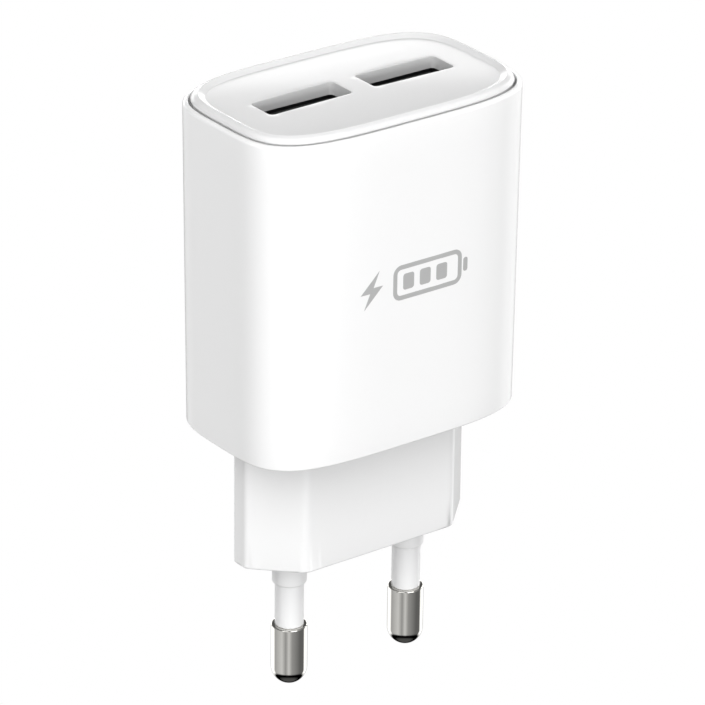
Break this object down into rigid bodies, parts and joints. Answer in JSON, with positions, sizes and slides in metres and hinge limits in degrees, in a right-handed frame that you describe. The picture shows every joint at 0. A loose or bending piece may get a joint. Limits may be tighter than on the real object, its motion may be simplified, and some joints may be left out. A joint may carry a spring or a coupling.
{
  "type": "usb wall charger",
  "caption": "White mains plug charger: rounded casing on a bevelled plug stem with round sleeved pins, USB ports side by side in a rimmed top cover.",
  "frame": {"origin": "middle of the plug stem's end face, which meets the wall socket", "axes": "+Z from the socket face up to the USB ports, X along the line of the two pins, -Y out of the front face"},
  "size_m": [0.042, 0.0268, 0.0824],
  "materials": {
    "casing_white": "satin moulded plastic",
    "cover_white": "polished moulded plastic",
    "stem_white": "fine-grained moulded plastic",
    "sleeve_white": "smooth moulded plastic",
    "pin_nickel": "polished nickel plate",
    "clip_bronze": "spring bronze, satin",
    "port_steel": "tin-plated sheet steel",
    "port_black": "moulded black plastic",
    "contact_gold": "gold-plated spring contact",
    "board_green": "solder-masked glass laminate",
    "ferrite": "ground ferrite",
    "bobbin_black": "moulded black plastic",
    "copper_wire": "enamelled copper wire",
    "tape_yellow": "polyester tape",
    "tinned_wire": "tinned wire",
    "can_black": "printed sleeve on an aluminium can",
    "can_green": "printed sleeve on an aluminium can",
    "disc_blue": "dipped epoxy",
    "resistor_green": "flameproof coating",
    "choke_green": "lacquer coating",
    "chip_black": "moulded epoxy package",
    "ceramic_black": "glazed resistor face",
    "ceramic_tan": "fired ceramic",
    "film": "polyester film",
    "solder": "tin solder"
  },
  "bodies": {
    "charger": {"casing": "casing_white", "top_cover": "cover_white", "plug_stem": "stem_white", "left_pin": "pin_nickel", "right_pin": "pin_nickel", "left_pin_sleeve": "sleeve_white", "right_pin_sleeve": "sleeve_white", "left_pin_clip": "clip_bronze", "right_pin_clip": "clip_bronze", "left_usb_shell": "port_steel", "right_usb_shell": "port_steel", "left_port_frame": "port_black", "right_port_frame": "port_black", "left_usb_insulator": "port_black", "right_usb_insulator": "port_black", "left_usb_tails": "contact_gold", "right_usb_tails": "contact_gold", "main_board": "board_green", "lower_core_half": "ferrite", "upper_core_half": "ferrite", "transformer_bobbin": "bobbin_black", "transformer_winding": "copper_wire", "transformer_tape": "tape_yellow", "transformer_pins": "tinned_wire", "left_input_capacitor": "can_black", "right_input_capacitor": "can_black", "left_output_capacitor": "can_green", "right_output_capacitor": "can_green", "safety_capacitor": "disc_blue", "fusible_resistor": "resistor_green", "input_choke": "choke_green", "bridge_rectifier": "chip_black", "controller_chip": "chip_black", "optocoupler": "chip_black", "output_rectifier": "chip_black", "chip_resistors": "ceramic_black", "chip_capacitors": "ceramic_tan", "insulation_sheet": "film", "solder_joints": "solder"},
    "left_port_contacts": {"left_usb_contacts": "contact_gold"},
    "right_port_contacts": {"right_usb_contacts": "contact_gold"}
  },
  "joints": [
    {"name": "left_contacts_flex", "type": "hinge", "parent": "charger", "child": "left_port_contacts", "pos_m": [-0.008, 0.00058, 0.0506], "axis": [-1, 0, 0], "range_deg": [0, 2.5], "stiffness_Nm_per_rad": 0.3},
    {"name": "right_contacts_flex", "type": "hinge", "parent": "charger", "child": "right_port_contacts", "pos_m": [0.008, 0.00058, 0.0506], "axis": [-1, 0, 0], "range_deg": [0, 2.5], "stiffness_Nm_per_rad": 0.3}
  ]
}
